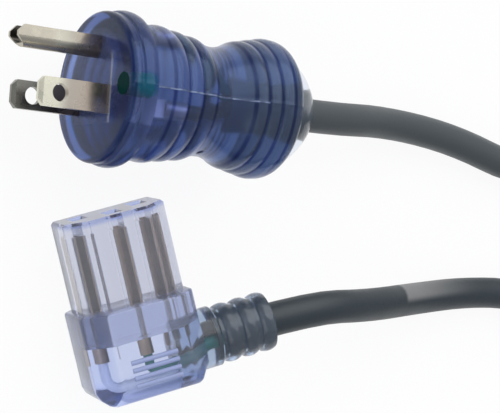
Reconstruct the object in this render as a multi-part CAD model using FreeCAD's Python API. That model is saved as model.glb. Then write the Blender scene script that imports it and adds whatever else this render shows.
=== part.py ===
import FreeCAD
import Part
import math
import os

# A moulded cord set lying on a table: a see-through type b plug, its grey cord with a tied coil,
# and a clear right-angle appliance connector at the other end. Lengths in millimetres, +Z up.
# The plug lies on its side along X: its blades point to -X, its cord leaves to +X,
# and its ground pin is on the +Y side. The origin is below the middle of the plug.

# Blades and ground pin
blade_width = 6.35
blade_thickness = 1.52
blade_length = 17.0
blade_spacing = 12.7
blade_hole_diameter = 3.9
blade_hole_setback = 5.2
blade_corner = 1.3
blade_bevel = 0.35
blade_bevel_run = 1.05
ground_pin_width = 4.75
ground_pin_wall = 0.8
ground_pin_length = 20.5
ground_pin_offset = 11.89
ground_nose_open = 1.5
ground_nose_fold = 2.2

# Crimps and conductors
shank_width = 3.4
shank_length = 3.0
crimp_diameter = 3.4
crimp_length = 5.5
strand_diameter = 2.0
wire_diameter = 2.8
wire_straight = 2.5
core_circle_radius = 1.75
core_angles = {"line": 120.0, "neutral": 240.0, "ground": 0.0}

# Turned plug body, from the face to the tail
blade_drop = 3.16
front_ring_radius = 17.0
front_ring_length = 2.2
face_edge_radius = 1.2
ring_groove_width = 1.2
ring_groove_depth = 0.4
second_ring_radius = 17.6
second_ring_length = 3.0
second_ring_crown = 0.25
ring_step_length = 0.5
neck_radius = 15.5
neck_length = 5.1
ridge_count = 3
ridge_pitch = 4.1
ridge_height = 0.55
ridge_first_foot = 15.3
ridge_last_foot = 13.35
waist_radius = 12.6
waist_length = 9.8
waist_place = 0.45
flare_radius = 14.2
flange_ring_count = 3
flange_ring_pitch = 3.1
flange_ring_crown = 0.32
flange_radius = 16.3
shoulder_length = 3.7
shoulder_radius = 13.8
shoulder_crown = 0.75
tail_length = 9.0
tail_radius = 5.2
tail_crown = 0.9

# Bridge that holds the blades, and the coloured peg in the face
bridge_width = 15.8
bridge_depth = 10.0
bridge_below_blades = 2.0
bridge_above_pin = 0.9
dot_diameter = 5.0
dot_end_wall = 0.4
dot_rim_wall = 1.5

# Cord
cord_diameter = 8.0
cord_inside_plug = 24.0
cord_straight = 11.0
arc_share = 0.45

# Coil of the spare length, and its ties
coil_x = 215.0
coil_y = -27.0
coil_straight = 55.0
coil_mid_radius = 33.0
coil_turns_across = 2.75
coil_layers = 2
coil_corner = 4.0
tie_thickness = 1.2
tie_width = 9.0

# Connector, in its own directions: x along its cord, y out of its mating face, z up
connector_x = 2.6
connector_y = -58.8
connector_turn = 20.0
connector_tilt = 15.0
elbow_width = 27.0
elbow_thickness = 20.5
elbow_above_cord = 13.0
elbow_below_cord = 8.2
elbow_corner_radius = 4.5
elbow_corner_cut = 3.6
elbow_bevel = 5.2
elbow_back_bevel = 1.4
elbow_foot_bevel = 3.2
grip_count = 4
grip_pitch = 1.8
grip_length = 11.0
grip_radius = 0.55
grip_margin = 0.8
relief_length = 17.0
relief_collar_length = 4.0
relief_collar_radius = 7.0
relief_end_radius = 6.9
relief_groove_radius = 6.1
relief_rib_count = 3
relief_rib_crown = 0.35
relief_groove_width = 1.3

# Contact insert of the connector
insert_width = 24.0
insert_height = 16.4
insert_corner = 4.6
insert_round = 1.1
insert_exposed = 21.0
insert_embedded = 7.5
insert_edge = 0.6
contact_spacing = 14.0
earth_offset = 4.0
mouth_width = 2.7
mouth_height = 5.2
mouth_depth = 3.5
mouth_lead_in = 0.5
pocket_clearance = 0.2

# Contacts and conductors of the connector
contact_gap = 1.9
contact_wall = 0.5
contact_height = 5.4
contact_length = 18.0
contact_tail_width = 3.0
contact_crimp_diameter = 3.2
contact_crimp_length = 4.3
contact_strand_diameter = 1.8
connector_wire_diameter = 2.2
connector_core_radius = 1.5
connector_core_angles = {"line": 0.0, "neutral": 240.0, "earth": 120.0}
cord_inside_connector = 13.5
wire_run_in = 2.0
wire_slope = 0.2
wire_drops = {"line": 3.5, "neutral": 6.1, "earth": 4.3}

# Sizes worked out from the driving dimensions
vector = FreeCAD.Vector
axis_z = second_ring_radius
ring_end = front_ring_length + ring_groove_width + second_ring_length
neck_end = ring_end + ring_step_length + neck_length
ridges_end = neck_end + ridge_count * ridge_pitch
flare_start = ridges_end + waist_length
flange_end = flare_start + flange_ring_count * flange_ring_pitch
shoulder_end = flange_end + shoulder_length
body_length = shoulder_end + tail_length
dot_depth = ring_end - dot_end_wall
dot_offset = front_ring_radius - dot_rim_wall - dot_diameter / 2
face_x = ground_pin_length - (ground_pin_length + body_length) / 2
tail_x = face_x + body_length
jacket_end_x = tail_x - cord_inside_plug
blade_y = -blade_drop
ground_y = ground_pin_offset - blade_drop
crimp_start = bridge_depth + shank_length
crimp_end = crimp_start + crimp_length
cord_radius = cord_diameter / 2
coil_half_width = coil_turns_across * cord_diameter / 2
coil_bottom = tie_thickness
coil_height = coil_layers * cord_diameter
coil_end_x = coil_x - coil_straight / 2
coil_outer_turn = coil_mid_radius + coil_half_width - cord_radius
tilt = math.radians(connector_tilt)
heel_x = elbow_width / 2 - elbow_back_bevel
connector_z = heel_x * math.sin(tilt) + elbow_thickness / 2 * math.cos(tilt)
connector_tilted = FreeCAD.Rotation(vector(0, 1, 0), -connector_tilt)
connector_turned = FreeCAD.Rotation(vector(0, 0, 1), connector_turn)
connector_rotation = connector_turned.multiply(connector_tilted)
connector_place = FreeCAD.Placement(vector(connector_x, connector_y, connector_z), connector_rotation)
relief_end = elbow_width / 2 + relief_length
connector_jacket_end = relief_end - cord_inside_connector
insert_rear = elbow_above_cord - insert_embedded
insert_front = elbow_above_cord + insert_exposed
contact_rear = insert_front - mouth_depth - contact_length

# Middle lines of the cord, chosen by hand: to the coil from the plug, and from the connector
plug_route = [
    vector(jacket_end_x, 0, axis_z),
    vector(tail_x + cord_diameter, 0, axis_z),
    vector(72, 2.8, 6.5),
    vector(97, 1, 4),
    vector(120, -5.5, 4),
    vector(142, -1, 4),
    vector(164, 11.5, 4.8),
    vector(coil_end_x, coil_y + coil_outer_turn, coil_bottom + cord_radius),
]
connector_exit_route = [
    vector(61, -43.6, 19),
    vector(84, -40.8, 7.5),
    vector(104, -37.9, 4),
    vector(123, -37.2, 4),
    vector(144, -47, 4.8),
    vector(164, -62, 9),
    vector(coil_end_x, coil_y - coil_outer_turn, coil_bottom + coil_height - cord_radius),
]


def unit(direction):
    return vector(direction).normalize()


def rounded_path(points):
    """Straight runs joined by tangent arcs, each as large as its two runs allow."""
    edges = []
    radii = []
    start = points[0]
    for before, corner, after in zip(points, points[1:], points[2:]):
        back = before - corner
        ahead = after - corner
        reach = arc_share * min(back.Length, ahead.Length)
        half_turn = (math.pi - back.getAngle(ahead)) / 2
        radius = reach / math.tan(half_turn)
        entry = corner + unit(back) * reach
        leave = corner + unit(ahead) * reach
        inward = unit(unit(back) + unit(ahead))
        middle = corner + inward * radius * (1 / math.cos(half_turn) - 1)
        edges.append(Part.LineSegment(start, entry).toShape())
        edges.append(Part.Arc(entry, middle, leave).toShape())
        radii.append(radius)
        start = leave
    edges.append(Part.LineSegment(start, points[-1]).toShape())
    return Part.Wire(edges), radii


def tube(points, diameter):
    """A round solid along a rounded path."""
    path, radii = rounded_path(points)
    circle = Part.Circle(points[0], points[1] - points[0], diameter / 2)
    section = Part.Wire([circle.toShape()])
    solid = path.makePipeShell([section], True, False)
    return solid, path.Length, radii


def prism(corners, sweep):
    """A solid from a closed outline of corner points, swept along a vector."""
    return Part.Face(Part.makePolygon(corners + corners[:1])).extrude(sweep)


def rod(start, end, diameter):
    return Part.makeCylinder(diameter / 2, (end - start).Length, start, end - start)


def block(low, high):
    size = high - low
    return Part.makeBox(size.x, size.y, size.z, low)


def crowned(start, end, crown):
    """An arc between two profile points that bulges outwards by the crown."""
    along = unit(end - start)
    outward = vector(-along.y, along.x, 0)
    middle = (start + end) * 0.5 + outward * crown
    return Part.Arc(start, middle, end).toShape()


def turned(edges, axis_point):
    """A solid of revolution about a line along X, from a profile drawn in the XY plane."""
    first = edges[0].Vertexes[0].Point
    last = edges[-1].Vertexes[-1].Point
    closing = Part.LineSegment(last, first).toShape()
    profile = Part.Face(Part.Wire(edges + [closing]))
    solid = profile.revolve(vector(0, 0, 0), vector(1, 0, 0), 360)
    solid.translate(axis_point)
    return solid


def straight(start, end):
    return Part.LineSegment(start, end).toShape()


def plug_profile():
    """Half section of the plug body, from the middle of the face to the middle of the tail."""
    edges = []
    face_rim = vector(0, front_ring_radius - face_edge_radius, 0)
    ring_start = vector(face_edge_radius, front_ring_radius, 0)
    bend = face_edge_radius * (1 - math.sqrt(0.5))
    rim_middle = vector(bend, front_ring_radius - bend, 0)
    edges.append(straight(vector(0, 0, 0), face_rim))
    edges.append(Part.Arc(face_rim, rim_middle, ring_start).toShape())

    groove_start = vector(front_ring_length, front_ring_radius, 0)
    groove_end = groove_start + vector(ring_groove_width, second_ring_crown, 0)
    edges.append(straight(ring_start, groove_start))
    edges.append(crowned(groove_start, groove_end, -ring_groove_depth))

    ring_back = vector(ring_end, second_ring_radius - second_ring_crown, 0)
    ring_top = vector((groove_end.x + ring_back.x) / 2, second_ring_radius, 0)
    edges.append(Part.Arc(groove_end, ring_top, ring_back).toShape())

    neck_start = vector(ring_end + ring_step_length, neck_radius, 0)
    neck_back = vector(neck_end, ridge_first_foot, 0)
    edges.append(straight(ring_back, neck_start))
    edges.append(straight(neck_start, neck_back))

    foot = neck_back
    fall = (ridge_first_foot - ridge_last_foot) / ridge_count
    for ridge in range(1, ridge_count + 1):
        next_foot = vector(neck_end + ridge * ridge_pitch, ridge_first_foot - ridge * fall, 0)
        edges.append(crowned(foot, next_foot, ridge_height))
        foot = next_foot

    flare = vector(flare_start, flare_radius, 0)
    waist = vector(ridges_end + waist_place * waist_length, waist_radius, 0)
    edges.append(Part.Arc(foot, waist, flare).toShape())

    foot = flare
    rise = (flange_radius - flare_radius) / flange_ring_count
    for ring in range(1, flange_ring_count + 1):
        next_foot = vector(flare_start + ring * flange_ring_pitch, flare_radius + ring * rise, 0)
        edges.append(crowned(foot, next_foot, flange_ring_crown))
        foot = next_foot

    shoulder = vector(shoulder_end, shoulder_radius, 0)
    tail_rim = vector(body_length, tail_radius, 0)
    edges.append(crowned(foot, shoulder, shoulder_crown))
    edges.append(crowned(shoulder, tail_rim, tail_crown))
    edges.append(straight(tail_rim, vector(body_length, 0, 0)))
    return edges


def crimp(y, z):
    """The narrow shank and the crimp barrel behind a blade or pin, with its bore."""
    shank_low = vector(face_x + bridge_depth, y - shank_width / 2, z - blade_thickness / 2)
    shank_high = vector(face_x + crimp_start, y + shank_width / 2, z + blade_thickness / 2)
    barrel_start = vector(face_x + crimp_start, y, z)
    barrel_end = vector(face_x + crimp_end, y, z)
    barrel = rod(barrel_start, barrel_end, crimp_diameter)
    bore = rod(barrel_start, barrel_end, strand_diameter)
    return block(shank_low, shank_high).fuse(barrel.cut(bore))


def blade(side):
    """A flat blade with rounded tip corners, a hole and a crimp, on the upper or lower side."""
    z = axis_z + side * blade_spacing / 2
    tip_x = face_x - blade_length
    back_x = face_x + bridge_depth
    low_y = blade_y - blade_width / 2
    high_y = blade_y + blade_width / 2
    bottom = z - blade_thickness / 2
    outline = prism(
        [
            vector(tip_x, low_y + blade_corner, bottom),
            vector(tip_x + blade_corner, low_y, bottom),
            vector(back_x, low_y, bottom),
            vector(back_x, high_y, bottom),
            vector(tip_x + blade_corner, high_y, bottom),
            vector(tip_x, high_y - blade_corner, bottom),
        ],
        vector(0, 0, blade_thickness),
    )
    half = blade_thickness / 2
    nose = prism(
        [
            vector(tip_x, low_y, z - half + blade_bevel),
            vector(tip_x + blade_bevel_run, low_y, z - half),
            vector(back_x, low_y, z - half),
            vector(back_x, low_y, z + half),
            vector(tip_x + blade_bevel_run, low_y, z + half),
            vector(tip_x, low_y, z + half - blade_bevel),
        ],
        vector(0, blade_width, 0),
    )
    hole_x = tip_x + blade_hole_setback
    hole = rod(vector(hole_x, blade_y, bottom), vector(hole_x, blade_y, z + half), blade_hole_diameter)
    return outline.common(nose).cut(hole).fuse(crimp(blade_y, z)).removeSplitter()


def ground_pin():
    """A pin folded from sheet: a channel, round towards the blades, open on its far side."""
    radius = ground_pin_width / 2
    inner = radius - ground_pin_wall
    tip_x = face_x - ground_pin_length
    back_x = face_x + bridge_depth
    length = vector(back_x - tip_x, 0, 0)

    def channel(r):
        left = vector(tip_x, ground_y, axis_z - r)
        right = vector(tip_x, ground_y, axis_z + r)
        fold = Part.Arc(left, vector(tip_x, ground_y - r, axis_z), right).toShape()
        rise = vector(0, radius, 0)
        walls = [straight(right, right + rise), straight(right + rise, left + rise)]
        outline = Part.Wire([fold] + walls + [straight(left + rise, left)])
        return Part.Face(outline).extrude(length)

    nose_y = ground_y + radius - ground_nose_open
    low_z = axis_z - radius
    nose = prism(
        [
            vector(tip_x, nose_y, low_z),
            vector(tip_x + ground_nose_open, ground_y + radius, low_z),
            vector(back_x, ground_y + radius, low_z),
            vector(back_x, ground_y - radius, low_z),
            vector(tip_x + ground_nose_fold, ground_y - radius, low_z),
            vector(tip_x, ground_y - radius + ground_nose_fold, low_z),
        ],
        vector(0, 0, ground_pin_width),
    )
    sheet = channel(radius).cut(channel(inner)).common(nose)
    fold_y = ground_y - radius + ground_pin_wall
    tongue_low = vector(back_x - shank_length, fold_y - ground_pin_wall / 2, axis_z - blade_thickness / 2)
    tongue_high = vector(back_x, ground_y + shank_width / 2, axis_z + blade_thickness / 2)
    tongue = block(tongue_low, tongue_high)
    return sheet.fuse(tongue).fuse(crimp(ground_y, axis_z)).removeSplitter()


def bridge():
    """The arch-topped block that carries the blades and the pin, level with the face."""
    half = bridge_width / 2
    low_y = blade_y - blade_width / 2 - bridge_below_blades
    top_y = ground_y + ground_pin_width / 2 + bridge_above_pin
    spring_y = top_y - half
    left = vector(face_x, spring_y, axis_z - half)
    right = vector(face_x, spring_y, axis_z + half)
    low_left = vector(face_x, low_y, axis_z - half)
    low_right = vector(face_x, low_y, axis_z + half)
    arch = Part.Arc(left, vector(face_x, top_y, axis_z), right).toShape()
    sides = [straight(right, low_right), straight(low_right, low_left), straight(low_left, left)]
    return Part.Face(Part.Wire([arch] + sides)).extrude(vector(bridge_depth, 0, 0))


def core_place(angle):
    """Where a conductor leaves the end of the jacket, by its angle about the plug's axis."""
    turn = math.radians(angle)
    return core_circle_radius * math.cos(turn), axis_z + core_circle_radius * math.sin(turn)


def plug_wire(y, z, angle):
    """An insulated conductor from its crimp to the jacket, with its stripped end in the barrel."""
    core_y, core_z = core_place(angle)
    barrel_end_x = face_x + crimp_end
    route = [
        vector(barrel_end_x, y, z),
        vector(barrel_end_x + wire_straight, y, z),
        vector(jacket_end_x - wire_straight, core_y, core_z),
        vector(jacket_end_x, core_y, core_z),
    ]
    insulated, _, _ = tube(route, wire_diameter)
    stripped = rod(vector(face_x + crimp_start, y, z), vector(barrel_end_x, y, z), strand_diameter)
    return insulated.fuse(stripped)


def coil_section(growth):
    """Rounded outline of the bundle of turns, at the ring's +X side, grown all round."""
    left = coil_mid_radius - coil_half_width - growth
    right = coil_mid_radius + coil_half_width + growth
    low = coil_bottom - growth
    high = coil_bottom + coil_height + growth
    r = coil_corner + growth
    bend = r * (1 - math.sqrt(0.5))
    corners = [
        (vector(left, 0, low), 1, 1),
        (vector(right, 0, low), -1, 1),
        (vector(right, 0, high), -1, -1),
        (vector(left, 0, high), 1, -1),
    ]
    arcs = []
    for corner, along, upward in corners:
        on_side = corner + vector(0, 0, upward * r)
        on_flat = corner + vector(along * r, 0, 0)
        middle = corner + vector(along * bend, 0, upward * bend)
        first, last = (on_side, on_flat) if along == upward else (on_flat, on_side)
        arcs.append(Part.Arc(first, middle, last).toShape())
    edges = []
    for arc, following in zip(arcs, arcs[1:] + arcs[:1]):
        edges.append(arc)
        edges.append(straight(arc.Vertexes[-1].Point, following.Vertexes[0].Point))
    return Part.Face(Part.Wire(edges))


def turned_section(growth, angle):
    """The outline of the bundle, turned about the middle of the coil."""
    section = coil_section(growth)
    section.rotate(vector(0, 0, 0), vector(0, 0, 1), angle)
    return section


def coil():
    """The bundle of turns, laid as a loop with two straight sides along X."""
    run = vector(coil_straight, 0, 0)
    loop = []
    for angle in (-90, 90):
        side = turned_section(0, angle)
        bend = side.revolve(vector(0, 0, 0), vector(0, 0, 1), 180)
        bend.translate(run * (-angle / 180))
        straight_side = side.extrude(run)
        straight_side.translate(run * -0.5)
        loop += [bend, straight_side]
    bundle = loop[0].multiFuse(loop[1:]).removeSplitter()
    bundle.translate(vector(coil_x, coil_y, 0))
    return bundle


def coil_tie(angle):
    """A flat strap wrapped once round a straight side of the bundle."""
    strap = turned_section(tie_thickness, angle).extrude(vector(tie_width, 0, 0))
    strap.translate(vector(coil_x - tie_width / 2, coil_y, 0))
    return strap


def placed(shape):
    """Turns a connector piece from its own directions to where the connector rests on its heel."""
    shape.Placement = connector_place.multiply(shape.Placement)
    return shape


def connector_point(x, y, z):
    return connector_place.multVec(vector(x, y, z))


def elbow_block():
    """The elbow: three outlines, one for each view, crossed with each other."""
    half_x = elbow_width / 2
    half_z = elbow_thickness / 2
    top_y = elbow_above_cord
    low_y = -elbow_below_cord
    r = elbow_corner_radius
    bend = r * (1 - math.sqrt(0.5))
    corner = [vector(-half_x, low_y + r, -half_z), vector(-half_x + r, low_y, -half_z)]
    corner_middle = vector(-half_x + bend, low_y + bend, -half_z)
    walls = [
        corner[1],
        vector(half_x - elbow_corner_cut, low_y, -half_z),
        vector(half_x, low_y + elbow_corner_cut, -half_z),
        vector(half_x, top_y, -half_z),
        vector(-half_x, top_y, -half_z),
        corner[0],
    ]
    edges = [straight(a, b) for a, b in zip(walls, walls[1:])]
    edges.append(Part.Arc(corner[0], corner_middle, corner[1]).toShape())
    plan = Part.Face(Part.Wire(edges)).extrude(vector(0, 0, elbow_thickness))
    bevel = elbow_bevel
    back = elbow_back_bevel
    front = prism(
        [
            vector(-half_x, low_y, -half_z + back),
            vector(-half_x + back, low_y, -half_z),
            vector(half_x - back, low_y, -half_z),
            vector(half_x, low_y, -half_z + back),
            vector(half_x, low_y, half_z - bevel),
            vector(half_x - bevel, low_y, half_z),
            vector(-half_x + bevel, low_y, half_z),
            vector(-half_x, low_y, half_z - bevel),
        ],
        vector(0, top_y - low_y, 0),
    )
    foot = elbow_foot_bevel
    side = prism(
        [
            vector(-half_x, low_y, -half_z + foot),
            vector(-half_x, low_y + foot, -half_z),
            vector(-half_x, top_y, -half_z),
            vector(-half_x, top_y, half_z),
            vector(-half_x, low_y + foot, half_z),
            vector(-half_x, low_y, half_z - foot),
        ],
        vector(elbow_width, 0, 0),
    )
    return plan.common(front).common(side)


def strain_relief():
    """The ribbed sleeve, turned about the cord, narrower towards its end."""
    start_x = elbow_width / 2 - elbow_corner_cut
    collar_end = elbow_width / 2 + relief_collar_length
    pitch = (relief_length - relief_collar_length) / relief_rib_count
    taper = (relief_collar_radius - relief_end_radius) / relief_rib_count
    corners = [
        vector(start_x, 0, 0),
        vector(start_x, relief_collar_radius, 0),
        vector(collar_end, relief_collar_radius, 0),
    ]
    edges = [straight(a, b) for a, b in zip(corners, corners[1:])]
    foot = corners[-1]
    for rib in range(relief_rib_count):
        groove_x = collar_end + rib * pitch
        rib_x = groove_x + relief_groove_width
        shoulder = relief_collar_radius - (rib + 1) * taper - relief_rib_crown
        groove_start = vector(groove_x, relief_groove_radius, 0)
        groove_stop = vector(rib_x, relief_groove_radius, 0)
        rib_start = vector(rib_x, shoulder, 0)
        rib_stop = vector(groove_x + pitch, shoulder, 0)
        edges.append(straight(foot, groove_start))
        edges.append(straight(groove_start, groove_stop))
        edges.append(straight(groove_stop, rib_start))
        edges.append(crowned(rib_start, rib_stop, relief_rib_crown))
        foot = rib_stop
    edges.append(straight(foot, vector(relief_end, 0, 0)))
    return turned(edges, vector(0, 0, 0))


def grip_ridges():
    """Half-round ridges for the fingers, along the front of the elbow."""
    ridges = []
    first_y = elbow_foot_bevel + grip_margin - elbow_below_cord
    for ridge in range(grip_count):
        y = first_y + ridge * grip_pitch
        start = vector(-grip_length / 2, y, elbow_thickness / 2)
        ridges.append(rod(start, start + vector(grip_length, 0, 0), 2 * grip_radius))
    return ridges


def insert_outline(y, growth):
    """Rounded outline of the mating block: two of its corners are cut, on the earth side."""
    half_x = insert_width / 2 - insert_round
    half_z = insert_height / 2 - insert_round
    cut = insert_corner - insert_round * (2 - math.sqrt(2))
    corners = [
        vector(-half_x, y, -half_z),
        vector(half_x, y, -half_z),
        vector(half_x, y, half_z - cut),
        vector(half_x - cut, y, half_z),
        vector(-half_x + cut, y, half_z),
        vector(-half_x, y, half_z - cut),
    ]
    return Part.makePolygon(corners + corners[:1]).makeOffset2D(insert_round + growth)


def contact_place(name):
    half = earth_offset / 2
    places = {
        "line": (contact_spacing / 2, -half),
        "neutral": (-contact_spacing / 2, -half),
        "earth": (0.0, half),
    }
    return places[name]


def contact(name):
    """A folded spring sleeve for one pin, with a tail and a crimp barrel behind it."""
    x, z = contact_place(name)
    half_x = contact_gap / 2 + contact_wall
    half_z = contact_height / 2
    front_y = contact_rear + contact_length
    sleeve = block(vector(x - half_x, contact_rear, z - half_z), vector(x + half_x, front_y, z + half_z))
    gap_low = vector(x - contact_gap / 2, contact_rear + contact_wall, z - half_z + contact_wall)
    gap_high = vector(x + contact_gap / 2, front_y, z + half_z)
    crimp_end_y = insert_rear - contact_crimp_length
    half_tail = contact_tail_width / 2
    tail_low = vector(x - contact_wall, insert_rear, z - half_tail)
    tail_high = vector(x + contact_wall, contact_rear, z + half_tail)
    barrel_start = vector(x, insert_rear, z)
    barrel_end = vector(x, crimp_end_y, z)
    barrel = rod(barrel_start, barrel_end, contact_crimp_diameter)
    bore = rod(barrel_start, barrel_end, contact_strand_diameter)
    folded = sleeve.cut(block(gap_low, gap_high))
    return folded.fuse(block(tail_low, tail_high)).fuse(barrel.cut(bore)).removeSplitter()


def contact_insert(contacts):
    """The mating block with its three slots and the pockets that the contacts sit in."""
    length = vector(0, insert_front - insert_rear - insert_edge, 0)
    shell = Part.Face(insert_outline(insert_rear, 0)).extrude(length)
    rim = [insert_outline(insert_front - insert_edge, 0), insert_outline(insert_front, -insert_edge)]
    shell = shell.fuse(Part.makeLoft(rim, True, True)).removeSplitter()
    for name in contacts:
        x, z = contact_place(name)
        half_x = contact_gap / 2 + contact_wall + pocket_clearance
        half_z = contact_height / 2 + pocket_clearance
        pocket_front = insert_front - mouth_depth
        pocket_low = vector(x - half_x, contact_rear, z - half_z)
        pocket_high = vector(x + half_x, pocket_front, z + half_z)
        mouth_low = vector(x - mouth_width / 2, pocket_front, z - mouth_height / 2)
        mouth_high = vector(x + mouth_width / 2, insert_front, z + mouth_height / 2)
        funnel = [mouth_ring(x, z, insert_front - mouth_lead_in, 0)]
        funnel.append(mouth_ring(x, z, insert_front, mouth_lead_in))
        shell = shell.cut(block(pocket_low, pocket_high))
        shell = shell.cut(block(mouth_low, mouth_high))
        shell = shell.cut(Part.makeLoft(funnel, True, True))
        shell = shell.cut(contacts[name])
    return shell


def mouth_ring(x, z, y, growth):
    half_x = mouth_width / 2 + growth
    half_z = mouth_height / 2 + growth
    corners = [
        vector(x - half_x, y, z - half_z),
        vector(x + half_x, y, z - half_z),
        vector(x + half_x, y, z + half_z),
        vector(x - half_x, y, z + half_z),
    ]
    return Part.makePolygon(corners + corners[:1])


def connector_wire(name):
    """An insulated conductor from a contact's crimp, down and round to the jacket."""
    x, z = contact_place(name)
    turn = math.radians(connector_core_angles[name])
    core_y = connector_core_radius * math.cos(turn)
    core_z = connector_core_radius * math.sin(turn)
    crimp_end_y = insert_rear - contact_crimp_length
    low_y = crimp_end_y - wire_drops[name]
    last_x = connector_jacket_end - wire_run_in
    route = [
        vector(x, crimp_end_y, z),
        vector(x, low_y, z),
        vector(last_x, core_y, core_z),
        vector(connector_jacket_end, core_y, core_z),
    ]
    if name == "neutral":
        route.insert(2, vector(contact_spacing / 2 + wire_run_in, low_y - wire_slope, z))
    insulated, _, _ = tube(route, connector_wire_diameter)
    stripped_start = vector(x, insert_rear, z)
    stripped = rod(stripped_start, vector(x, crimp_end_y, z), contact_strand_diameter)
    return insulated.fuse(stripped)


def plug_parts(cord):
    pieces = {
        "line_blade": blade(1),
        "neutral_blade": blade(-1),
        "ground_pin": ground_pin(),
        "plug_line_wire": plug_wire(blade_y, axis_z + blade_spacing / 2, core_angles["line"]),
        "plug_neutral_wire": plug_wire(blade_y, axis_z - blade_spacing / 2, core_angles["neutral"]),
        "plug_ground_wire": plug_wire(ground_y, axis_z, core_angles["ground"]),
    }
    carrier = bridge()
    for name in ("line_blade", "neutral_blade", "ground_pin"):
        carrier = carrier.cut(pieces[name])
    pieces["blade_bridge"] = carrier
    dot_start = vector(face_x, 0, axis_z + dot_offset)
    pieces["green_dot"] = rod(dot_start, dot_start + vector(dot_depth, 0, 0), dot_diameter)
    body = turned(plug_profile(), vector(face_x, 0, axis_z))
    body = body.cut(bridge())
    for inner in list(pieces.values()) + [cord]:
        body = body.cut(inner)
    pieces["plug_body"] = body
    return pieces


def connector_parts():
    names = ("line", "neutral", "earth")
    contacts = {name: contact(name) for name in names}
    pieces = {f"{name}_contact": contacts[name] for name in names}
    pieces["contact_insert"] = contact_insert(contacts)
    for name in names:
        pieces[f"connector_{name}_wire"] = connector_wire(name)
    body = elbow_block().fuse(strain_relief())
    for ridge in grip_ridges():
        body = body.fuse(ridge)
    jacket = rod(vector(connector_jacket_end, 0, 0), vector(relief_end, 0, 0), cord_diameter)
    body = body.removeSplitter().cut(jacket)
    body = body.cut(Part.Face(insert_outline(insert_rear, 0)).extrude(vector(0, insert_embedded, 0)))
    for inner in list(pieces.values()):
        body = body.cut(inner)
    pieces["connector_body"] = body
    return {name: placed(piece) for name, piece in pieces.items()}


def cord_parts():
    """The two loose stretches, the coil between them and the ties round the coil."""
    ring = coil()
    parts = {"cord_coil": ring}
    connector_route = [
        connector_point(connector_jacket_end, 0, 0),
        connector_point(relief_end + cord_straight, 0, 0),
    ] + connector_exit_route
    routes = {"cord_plug_run": plug_route, "cord_connector_run": connector_route}
    for name, route in routes.items():
        solid, length, radii = tube(route, cord_diameter)
        expected = math.pi * cord_radius**2 * length
        print(name, "length", round(length, 1), "volume share", round(solid.Volume / expected, 4))
        print("  radii", [round(r, 1) for r in radii])
        parts[name] = solid.cut(ring)
    parts["coil_tie_plug_side"] = coil_tie(90).cut(ring)
    parts["coil_tie_connector_side"] = coil_tie(-90).cut(ring)
    return parts


def main():
    os.makedirs("parts", exist_ok=True)
    parts = cord_parts()
    parts.update(plug_parts(parts["cord_plug_run"]))
    parts.update(connector_parts())
    for name, shape in parts.items():
        solid = shape.Solids[0] if len(shape.Solids) == 1 else shape
        solid.exportStep(f"parts/{name}.step")
        print(f"{name}: {len(shape.Solids)} solid, valid {solid.isValid()}, {solid.Volume:.1f} mm3")


main()
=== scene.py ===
# %% [markdown]
# # A moulded cord set, dressed around its CAD frame
# The object is a power cord: a see-through blue type b plug, a grey round cord and a clear
# right-angle appliance connector. The CAD gives every rigid piece its place and size in metres.
# This lesson adds the camera, the cord, the light, the plastics and the moulded skins.

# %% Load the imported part
import math

import bpy
from mathutils import Matrix, Vector


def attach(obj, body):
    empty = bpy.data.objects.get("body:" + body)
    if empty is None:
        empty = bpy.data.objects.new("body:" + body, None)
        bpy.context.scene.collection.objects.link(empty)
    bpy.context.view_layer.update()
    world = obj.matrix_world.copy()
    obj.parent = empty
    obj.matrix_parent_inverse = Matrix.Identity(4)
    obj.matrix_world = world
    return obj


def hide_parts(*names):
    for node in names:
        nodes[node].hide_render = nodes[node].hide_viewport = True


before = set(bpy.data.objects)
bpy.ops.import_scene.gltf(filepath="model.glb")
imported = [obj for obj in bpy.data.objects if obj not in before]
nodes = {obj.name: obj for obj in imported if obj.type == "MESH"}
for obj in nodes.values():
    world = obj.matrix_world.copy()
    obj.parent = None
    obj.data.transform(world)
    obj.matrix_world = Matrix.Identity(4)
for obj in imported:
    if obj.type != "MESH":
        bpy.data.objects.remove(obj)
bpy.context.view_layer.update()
bpy.ops.object.select_all(action="DESELECT")

# %% [markdown]
# ## The camera
# The photograph looks down on the plug from the side of its blades, through a long lens. The blades
# have standard sizes, so their corners, holes and the rings of the body tell where the camera stood.
# A long focal length keeps the plug and the connector at almost one scale, as in the photograph.

# %% Camera
camera_data = bpy.data.cameras.new("product_camera")
camera_data.sensor_fit = "HORIZONTAL"
camera_data.sensor_width = 36.0
camera_data.lens = 144.0
camera = bpy.data.objects.new("product_camera", camera_data)
bpy.context.scene.collection.objects.link(camera)
to_right = Vector((0.8270, 0.0690, 0.5579))
to_top = Vector((-0.0883, 0.9961, 0.0076))
to_back = Vector((-0.5552, -0.0555, 0.8299))
camera.matrix_world = Matrix.Translation((-0.2319, -0.0485, 0.4029)) @ Matrix(
    (to_right, to_top, to_back)).transposed().to_4x4()
bpy.context.scene.camera = camera
print("camera at", [round(v, 4) for v in camera.location])
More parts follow.
